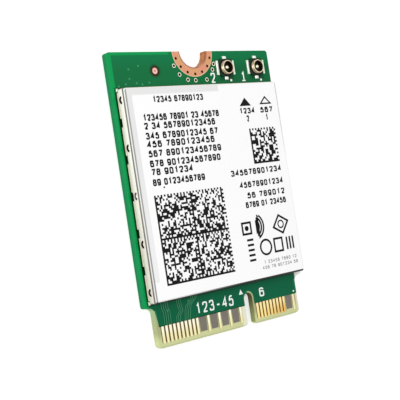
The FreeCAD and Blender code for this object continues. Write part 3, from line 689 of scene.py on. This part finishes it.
def bricks(rectangles, low, high):
    """Flat bricks: each row (x0, y0, x1, y1) gives the eight corners of one, all at once."""
    rows = np.asarray(rectangles, float)
    corner_x = rows[:, [0, 2, 2, 0, 0, 2, 2, 0]]
    corner_y = rows[:, [1, 1, 3, 3, 1, 1, 3, 3]]
    corner_z = np.broadcast_to([low] * 4 + [high] * 4, corner_x.shape)
    vertices = np.stack([corner_x, corner_y, corner_z], axis=2).reshape(-1, 3)
    sides = np.array([[0, 3, 2, 1], [4, 5, 6, 7], [0, 1, 5, 4], [1, 2, 6, 5], [2, 3, 7, 6], [3, 0, 4, 7]])
    faces = (8 * np.arange(len(rows))[:, None, None] + sides).reshape(-1, 4)
    return vertices, faces.tolist()


def ribbon(points, width, low, high, closed=False):
    """Strip along a path: each point is moved half the width to both sides, along the mean of
    the normals of its two lengths divided by the cosine of half their turn, or by 0.4 if that is
    more. The top of an open strip rises by a tenth of its height, so that it can cross itself."""
    path = np.asarray(points, float)
    ahead = np.roll(path, -1, axis=0) - path
    behind = path - np.roll(path, 1, axis=0)
    if not closed:
        ahead[-1] = behind[-1]
        behind[0] = ahead[0]
    ahead /= np.linalg.norm(ahead, axis=1, keepdims=True)
    behind /= np.linalg.norm(behind, axis=1, keepdims=True)
    along = ahead + behind
    along /= np.linalg.norm(along, axis=1, keepdims=True)
    stretch = 1 / np.maximum((along * ahead).sum(axis=1, keepdims=True), 0.4)
    side = np.stack([-along[:, 1], along[:, 0]], axis=1) * stretch * width / 2
    count = len(path)
    rise = np.zeros(count) if closed else np.linspace(-0.1, 0, count) * (high - low)
    rows = [np.column_stack([path + sign * side, np.full(count, height) + rise * (height == high)])
            for sign, height in ((1, low), (-1, low), (-1, high), (1, high))]
    vertices = np.stack(rows, axis=1).reshape(-1, 3)
    steps = np.arange(count if closed else count - 1)[:, None, None] * 4
    following = (steps + 4) % (4 * count)
    sides = np.array([[0, 1], [1, 2], [2, 3], [3, 0]])[None]
    near, far = steps + sides, following + sides
    faces = np.stack([near[..., 0], near[..., 1], far[..., 1], far[..., 0]], axis=-1)
    faces = faces.reshape(-1, 4)[:, ::-1].tolist()
    if not closed:
        faces += [[0, 1, 2, 3], [4 * count - 1, 4 * count - 2, 4 * count - 3, 4 * count - 4]]
    return vertices, faces


def plate(points, low, high):
    """Flat plate over a convex outline, given anticlockwise."""
    outline = np.asarray(points, float)
    count = len(outline)
    vertices = np.vstack([np.column_stack([outline, np.full(count, z)]) for z in (low, high)])
    ring = np.arange(count)
    following = (ring + 1) % count
    faces = [ring[::-1].tolist(), (ring + count).tolist()]
    faces += np.column_stack([ring, following, following + count, ring + count]).tolist()
    return vertices, faces


def circle(x, y, radius, count=32):
    """Points evenly spaced round a circle."""
    angle = np.linspace(0, 2 * math.pi, count, endpoint=False)
    return np.column_stack([x + radius * np.cos(angle), y + radius * np.sin(angle)])


def pillow(x, y, half_x, half_y, low, height):
    """Low bead over a rectangle: its height is the full height times the square root of two
    factors, one minus the fourth power of the share of the half size across and the same along.
    One face closes its foot."""
    count = 13
    u = np.sin(np.linspace(-math.pi / 2, math.pi / 2, count))
    across, along = np.meshgrid(u, u, indexing="ij")
    rise = height * np.sqrt((1 - across**4) * (1 - along**4))
    vertices = np.stack([x + half_x * across, y + half_y * along, low + rise], axis=2).reshape(-1, 3)
    index = np.arange(count * count).reshape(count, count)
    faces = np.stack([index[:-1, :-1], index[1:, :-1], index[1:, 1:], index[:-1, 1:]], axis=2)
    rim = np.concatenate([index[:-1, 0], index[-1, :-1], index[:0:-1, -1], index[0, :0:-1]])
    return vertices, faces.reshape(-1, 4).tolist() + [rim[::-1].tolist()]


def dome(x, y, radius, low, height):
    """Shallow cap: at a share s of the radius its height is the full height times (1 - s squared)."""
    count, rings = 16, 4
    share = np.linspace(1, 0, rings, endpoint=False)
    angle = np.linspace(0, 2 * math.pi, count, endpoint=False)
    s, a = np.meshgrid(share, angle, indexing="ij")
    body = np.stack([x + radius * s * np.cos(a), y + radius * s * np.sin(a),
                     low + height * (1 - s**2)], axis=2).reshape(-1, 3)
    vertices = np.vstack([body, [[x, y, low + height]]])
    index = np.arange(rings * count).reshape(rings, count)
    turned = np.roll(index, -1, axis=1)
    walls = np.stack([index[:-1], turned[:-1], turned[1:], index[1:]], axis=2).reshape(-1, 4)
    tip = np.column_stack([index[-1], turned[-1], np.full(count, rings * count)])
    return vertices, walls.tolist() + tip.tolist() + [index[0][::-1].tolist()]


NUMERALS = {
    "0": [[(2, 0), (0, 0), (0, 3.5), (0, 7), (2, 7), (4, 7), (4, 3.5), (4, 0), (2, 0)]],
    "1": [[(0.9, 5.5), (2.3, 7), (2.3, 0)]],
    "2": [[(0, 5.2), (0, 7), (2, 7), (4, 7), (4, 4.9), (3.6, 3.7), (0, 0)], [(0, 0), (4, 0)]],
    "3": [[(0.1, 5.6), (0.2, 7), (2, 7), (3.8, 7), (3.8, 3.8), (2.6, 3.8), (1.4, 3.8)],
          [(1.4, 3.8), (2.6, 3.8), (4, 3.8), (4, 0), (2, 0), (0, 0), (0, 1.6)]],
    "4": [[(3.1, 0), (3.1, 7), (0, 2), (4.2, 2)]],
    "5": [[(3.7, 7), (0.7, 7), (0.2, 3.6)],
          [(0.2, 3.6), (1, 4.6), (4, 4.8), (4, 0), (2, 0), (0, 0), (0, 1.6)]],
    "6": [[(3.9, 5.8), (3.4, 7), (2, 7), (0, 7), (0, 3), (0, 0), (2, 0), (4, 0), (4, 2.2),
           (4, 4.4), (2, 4.4), (0.2, 4.4), (0, 2.4)]],
    "7": [[(0, 7), (4, 7), (1.4, 0)]],
    "8": [[(2, 3.8), (0.2, 3.8), (0.2, 7), (2, 7), (3.8, 7), (3.8, 3.8), (2, 3.8)],
          [(2, 3.8), (0, 3.8), (0, 0), (2, 0), (4, 0), (4, 3.8), (2, 3.8)]],
    "9": [[(0.1, 1.2), (0.6, 0), (2, 0), (4, 0), (4, 4), (4, 7), (2, 7), (0, 7), (0, 4.8),
           (0, 2.6), (2, 2.6), (3.8, 2.6), (4, 4.6)]],
    "-": [[(0.6, 2.9), (3.4, 2.9)]],
}
SHARP_NUMERALS = "147-"
NUMERAL_WIDTH, NUMERAL_HEIGHT, NUMERAL_STEP, GAP_STEP = 4.0, 7.0, 5.7, 3.4
CONDENSED = 0.76
STROKE_DROP = 0.12              # each further stroke of a digit is thinner by this share
DARK_SHARE = 0.52


def softened(points):
    """Corner cutting: every inner length gives the points at one and three quarters of it,
    and the ends stay."""
    path = np.asarray(points, float)
    near = 0.75 * path[:-1] + 0.25 * path[1:]
    far = 0.25 * path[:-1] + 0.75 * path[1:]
    return np.vstack([path[:1], np.stack([near, far], axis=1).reshape(-1, 2)[1:-1], path[-1:]])


def lettering(text, x0, x1, y0, y1, low, width):
    """Digits drawn as strips along their strokes, spread evenly from x0 to x1."""
    steps = [GAP_STEP if sign == " " else NUMERAL_STEP for sign in text]
    starts = np.concatenate([[0], np.cumsum(steps)[:-1]])
    span = starts[-1] + NUMERAL_WIDTH * CONDENSED
    scale = np.array([(x1 - x0 - width) / span, (y1 - y0 - width) / NUMERAL_HEIGHT])
    origin = np.array([x0 + width / 2, y0 + width / 2])
    strips = []
    for sign, start in zip(text, starts):
        for i, stroke in enumerate(NUMERALS.get(sign, [])):
            path = stroke if sign in SHARP_NUMERALS else softened(softened(stroke))
            points = origin + (np.asarray(path) * (CONDENSED, 1) + (start, 0)) * scale
            strips.append(ribbon(points, width, low, low + INK * (1 - STROKE_DROP * i)))
    return merged(strips)


def counting(group_lengths, start=1):
    """Plain digits that count on through groups of these lengths."""
    digits, next_digit = [], start
    for length in group_lengths:
        digits.append("".join(str((next_digit + i) % 10) for i in range(length)))
        next_digit += length
    return " ".join(digits)


# The print on the label

def code_rectangles(x0, y0, side, regions, modules):
    """Dark squares of a square code made by chance. Each region has a solid left and lower
    border and a dotted right and upper one."""
    count = regions * modules
    dark = rng.random((count, count)) < DARK_SHARE
    for row in range(regions):
        for column in range(regions):
            rows = slice(row * modules, (row + 1) * modules)
            columns = slice(column * modules, (column + 1) * modules)
            region = dark[rows, columns]
            region[-1, :] = np.arange(modules) % 2 == 0
            region[:, -1] = np.arange(modules) % 2 == 0
            region[0, :] = True
            region[:, 0] = True
    step = side / count
    row, column = np.nonzero(dark)
    left, lower = x0 + column * step, y0 + row * step
    return np.column_stack([left, lower, left + step, lower + step])


def add_label_print(black, grey):
    """Rows of digits, two square codes, port marks and plain shapes."""
    low, high = LABEL_TOP, LABEL_TOP + INK
    stroke, right_stroke = 0.17, 0.16
    row_half, right_row_half = 0.35, 0.33

    title = lettering(counting((5, 8)), -7.08, -0.48, 9.53, 10.19, low, 0.155)
    add_piece("label_title", [title], black)

    lines = ((8.05, 1.36, (6, 5, 2, 5)), (7.2, 0.67, (1, 2, 12)), (6.2, 0.84, (3, 10, 2)),
             (5.35, 0.21, (3, 10)), (4.4, 0.95, (3, 12)), (3.4, 0.66, (3, 12)),
             (2.55, -3.27, (2, 6)), (1.5, -1.86, (2, 10)))
    parts = [lettering(counting(groups, start), -8.63, end, y - row_half, y + row_half, low, stroke)
             for start, (y, end, groups) in enumerate(lines, start=1)]
    parts.append(plate(circle(-7.31, 0.93, 0.1, 12), low, high))
    add_piece("label_number_rows", parts, black)

    rows = ((1.43, 1.77, (12,)), (0.06, 2.75, (11,)), (-1.12, 3.62, (2, 6)), (-2.13, 3.19, (4, 2, 5)))
    parts = [lettering(counting(groups, start), left, 9.25, y - right_row_half, y + right_row_half,
                       low, right_stroke)
             for start, (y, left, groups) in enumerate(rows, start=3)]
    add_piece("label_right_rows", parts, black)

    solid = plate([(4.5, 8.62), (6.18, 8.62), (5.34, 9.54)], low, high)
    hollow = ribbon([(7.64, 8.77), (9.12, 8.77), (8.38, 9.5)], stroke, low, high, closed=True)
    ports = [solid, hollow, lettering(counting((4,)), 4.37, 6.59, 7.76, 8.4, low, right_stroke),
             lettering(counting((3,), 5), 7.45, 9.32, 7.76, 8.4, low, right_stroke),
             lettering("2", 5.26, 5.62, 6.87, 7.57, low, 0.15),
             lettering("1", 8.1, 8.5, 6.87, 7.57, low, 0.15)]
    add_piece("label_port_marks", ports, black)

    for name, place in (("label_large_code", (-8.76, -8.87, 9.08, 2, 22)),
                        ("label_small_code", (5.35, 2.2, 3.9, 1, 18))):
        add_piece(name, [bricks(code_rectangles(*place), low, high)], black)
    add_piece("label_shapes", plain_shapes(low, high), black)
    faint = [lettering(counting((1, 5, 4, 2)), 4.6, 9.55, -8.72, -8.36, low, 0.06),
             lettering(counting((3, 2, 6, 2), 4), 4.25, 9.65, -9.3, -8.94, low, 0.06)]
    add_piece("label_faint_rows", faint, grey)


def plain_shapes(low, high):
    """Squares, rings, arcs and bars in the label's lower right corner."""
    thin, thick = 0.16, 0.23

    def outline(points, width=thick):
        return ribbon(points, width, low, high, closed=True)

    arcs = [ribbon(circle(3.9, -4.55, radius, 40)[np.r_[7, 33:40, 0:7]], thin + 0.05, low, high)
            for radius in (0.75, 1.07, 1.39)]
    left_bars = [(2.6, -6.0 - 0.55 * i, 3.5, -5.76 - 0.55 * i) for i in range(5)]
    right_bars = [(8.3 + 0.46 * i, -7.65, 8.54 + 0.46 * i, -6.25) for i in range(3)]
    return [outline([(2.2, -5.2), (3.4, -5.2), (3.4, -4.0), (2.2, -4.0)]),
            plate(circle(2.8, -4.6, 0.28), low, high), *arcs,
            outline([(6.75, -5.0), (8.05, -5.75), (9.0, -4.5), (7.7, -3.75)]),
            outline(circle(7.88, -4.75, 0.4), thin), bricks(left_bars, low, high),
            outline(circle(5.2, -6.95, 0.8)),
            outline([(6.5, -7.65), (7.7, -7.65), (7.7, -6.25), (6.5, -6.25)]),
            bricks(right_bars, low, high)]


# Fine pieces on the board

def add_legend(white):
    """White digits, dots, a bar and a triangle printed on the mask."""
    low, high = BOARD_TOP, BOARD_TOP + INK
    stroke = 0.16
    parts = [lettering("2", 2.1, 2.72, 11.5, 12.62, low, stroke),
             lettering("1", 6.5, 7.2, 11.6, 12.62, low, stroke),
             bricks([(6.62, 11.58, 7.1, 11.7)], low, high),
             lettering("123-45", -4.7, 0.45, -12.46, -11.34, low, stroke),
             lettering("6", 4.3, 5.0, -12.25, -11.28, low, stroke),
             plate([(1.37, -11.52), (1.95, -11.52), (1.66, -10.98)], low, high),
             plate(circle(4.98, 11.73, 0.14, 16), low, high),
             plate(circle(9.48, 11.67, 0.14, 16), low, high),
             plate(circle(9.45, -12.5, 0.1, 16), low, high)]
    add_piece("board_legend", parts, white)


def add_tracks(light, dark):
    """Bundles of raised tracks under the mask, from the contacts to the shield. Each track is the
    bundle's middle line moved sideways, one pitch from the next, on a darker and wider strip that
    has no copper under it."""
    bundles = ((4, 0.27, [(-8.6, -10.35), (-8.62, -11.1), (-8.45, -11.5), (-8.5, MASK_LINE_Y)]),
               (3, 0.24, [(-6.8, -10.35), (-6.76, -11.2), (-6.62, -11.7), (-7.06, -12.2),
                          (-7.12, MASK_LINE_Y)]),
               (4, 0.24, [(-4.7, -10.4), (-4.85, -10.75), (-5.6, -11.35), (-5.8, -11.9),
                          (-5.95, MASK_LINE_Y)]))
    raised, bare = [], []
    for count, pitch, line in bundles:
        for i in range(count):
            path = np.asarray(line) + ((i - (count - 1) / 2) * pitch, 0.0)
            raised.append(ribbon(path, 0.08, TRIM_LOW, BOARD_TOP + 0.012))
            bare.append(ribbon(path, 0.2, TRIM_LOW, BOARD_TOP + 0.003))
    add_piece("board_tracks", raised, light)
    add_piece("board_track_gaps", bare, dark)


def add_covered_vias(material):
    """Small domes where the mask covers vias."""
    places = ((-7.35, 13.55), (-8.59, 13.22), (-8.65, 12.25), (-7.82, 11.79), (-6.22, 11.79),
              (-7.14, 11.63), (-10.06, 11.51), (-9.18, 11.7), (-5.5, -10.9), (-8.3, -11.4))
    parts = [dome(x, y, 0.13, BOARD_TOP - 0.002, 0.02) for x, y in places]
    add_piece("covered_vias", parts, material, smooth=True)


def round_ring(radius, degrees):
    """Point at this distance and angle from the ring's centre."""
    angle = math.radians(degrees)
    return RING_CENTRE[0] + radius * math.cos(angle), RING_CENTRE[1] + radius * math.sin(angle)


def add_via_dress(hole_shade, mask):
    """Dark discs of painted shade over the mouths of the open vias, and mask that laps over the rim of
    each one outside the ring."""
    inner = [round_ring(VIA_RING_RADIUS, -90 + VIA_RING_STEP * (i - VIA_RING_COUNT // 2))
             for i in range(VIA_RING_COUNT)]
    outer = [round_ring(RING_RADIUS + gap, degrees) for degrees, gap in STITCH_VIAS]
    # Painted shade: dark discs fill the via mouths.
    shade_discs = [plate(circle(x, y, VIA_SHADE_DISC_RADIUS, 12), TRIM_LOW, RIM_TOP) for x, y in inner + outer]
    add_piece("via_shade_discs", shade_discs, hole_shade)
    laps = [ribbon(circle(x, y, VIA_RIM_RADIUS, 16), VIA_RIM_WIDTH, TRIM_LOW, RIM_TOP, closed=True)
            for x, y in outer]
    add_piece("via_mask", laps, mask)


def add_receptacle_solder(material):
    """Solder over each receptacle's left leg, its tab and the end of its tail."""
    parts = []
    for x, y in RECEPTACLES:
        parts.append(pillow(x - 1.17, y, 0.13, 0.79, BOARD_TOP, 0.15))
        parts.append(pillow(x, y + 1.1, 0.26, 0.2, BOARD_TOP, 0.15))
        parts.append(pillow(x, y - 1.12, 0.25, 0.22, BOARD_TOP, 0.13))
    add_piece("receptacle_solder", parts, material, smooth=True)


def add_corner_solder(material):
    """A bead of solder at each corner of the shield, where the frame's feet end."""
    x, y = SHIELD_HALF[0] - 0.08, SHIELD_HALF[1] - 0.08
    beads = [pillow(side * x, SHIELD_CENTRE[1] + end * y, 0.15, 0.2, BOARD_TOP, 0.2)
             for side in (-1, 1) for end in (-1, 1)]
    add_piece("corner_solder", beads, material, smooth=True)


# Studio

def add_floor():
    """Pale floor that keeps the shadow and is white to the camera and in reflections."""
    look = Finish("pale_floor", roughness=0.9)
    grain = look.grain(0.02, 0.003, 0.02)
    look.feed(look.shader["Base Color"], look.shaded((232, 232, 232), grain["Shade"]))
    look.feed(look.shader["Emission Color"], look.mix(look.seen_plainly(), (0, 0, 0), (255, 255, 255)))
    look.shader["Emission Strength"].default_value = 0.4
    mesh = bpy.data.meshes.new("floor")
    mesh.from_pydata([(x * FLOOR_HALF * MM, y * FLOOR_HALF * MM, -0.02 * MM)
                      for x, y in ((-1, -1), (1, -1), (1, 1), (-1, 1))], [], [(0, 1, 2, 3)])
    mesh.materials.append(look.material)
    floor = new_object("floor", mesh)


def add_world():
    """Even light from all round, white where the camera or a reflection sees it."""
    world = bpy.data.worlds.new("studio")
    bpy.context.scene.world = world
    world.use_nodes = True
    tree = Tree(world.node_tree)
    background = world.node_tree.nodes["Background"]
    background.inputs["Color"].default_value = (1.0, 1.0, 1.0, 1.0)
    tree.feed(background.inputs["Strength"],
              tree.math("MULTIPLY_ADD", tree.seen_plainly(), 0.43, 0.57))


def add_lamp(name, place, size, power):
    """Soft square lamp that faces the card. Distances are millimetres."""
    lamp = bpy.data.lights.new(name, "AREA")
    lamp.size = size * MM
    lamp.energy = power
    thing = new_object(name, lamp)
    thing.location = Vector(place) * MM
    thing.rotation_mode = "QUATERNION"
    thing.rotation_quaternion = (-Vector(place)).to_track_quat("-Z", "Y")


def add_camera():
    """Camera in the photograph's place, turned as it was."""
    camera = bpy.data.cameras.new("camera")
    camera.lens = CAMERA_LENS
    camera.clip_start = 0.005
    thing = new_object("camera", camera)
    right, up = Vector(CAMERA_RIGHT).normalized(), Vector(CAMERA_UP).normalized()
    turn = Matrix((right, up, right.cross(up))).transposed().to_4x4()
    thing.matrix_world = Matrix.Translation(Vector(CAMERA_PLACE) * MM) @ turn
    bpy.context.scene.camera = thing


receptacle_black = receptacle_base_material()
dress_nodes({
    "circuit_board": board_material(),
    "mounting_ring": copper_material(),
    "stitching_vias": via_material(),
    "fiducial_dot": fiducial_material(),
    "contact_": contact_material(),
    "back_contacts": contact_material(),
    "blank_contact_fields": even_material("grey_coating", (118, 112, 102), (16.0, 2.0, 0.35),
                                          (0.006, 0.6), roughness=0.7),
    "antenna_1_base": receptacle_black,
    "antenna_2_base": receptacle_black,
    "antenna_filter": moulded_material("filter_ceramic", (214, 214, 216), 0.4, 0.15),
    "antenna_": receptacle_gold_material(),
    "shield_cover": cover_material(),
    "shield_frame": frame_material(),
    "frame_solder": solder_material("fence_solder", (166, 162, 140)),
    "label": label_material(),
    "radio_chip": moulded_material("chip_moulding", (38, 38, 42), 0.55),
    "front_end_module": moulded_material("module_moulding", (34, 34, 36), 0.5),
    "power_regulator": moulded_material("regulator_moulding", (30, 30, 32), 0.5),
    "flash_memory": moulded_material("memory_moulding", (36, 36, 38), 0.55),
    "heat_pad": moulded_material("heat_pad", (150, 164, 182), 0.75, 0.2),
    "power_inductor": moulded_material("inductor_moulding", (86, 86, 90), 0.65),
    "crystal": ended_material("crystal_tub_and_lid", (196, 184, 150), crystal_lid),
    "capacitors": ended_material("capacitor_ceramic", (170, 138, 100), proud_ends),
    "resistors": ended_material("resistor_glaze", (40, 40, 46), resistor_ends),
})
add_label_print(print_material("black_print", (14, 14, 15), 0.5, 0.1),
                print_material("grey_print", (120, 120, 122), 0.4, 0.2))
add_legend(even_material("white_legend", (250, 255, 252), (16.0, 2.0, 0.12), (0.003, 0.4),
                         roughness=0.55))
mask_over_copper = covered_material("mask_over_copper", (56, 144, 102))
add_tracks(mask_over_copper, covered_material("mask_over_laminate", (2, 62, 40)))
add_covered_vias(mask_over_copper)
# The via discs are painted shade, in a dark moulded material.
add_via_dress(moulded_material("dark_via_shade", (38, 10, 5), 0.8),
              covered_material("mask_over_rims", (8, 74, 42)))
add_receptacle_solder(solder_material("bright_solder", (238, 244, 234)))
add_corner_solder(solder_material("corner_solder", (196, 206, 184)))

add_floor()
add_world()
add_lamp("overhead_lamp", (60.0, 90.0, 260.0), 220.0, 0.15)
add_lamp("left_lamp", (-270.0, 20.0, 170.0), 200.0, 0.54)
add_camera()
bpy.context.scene.view_settings.view_transform = "Standard"
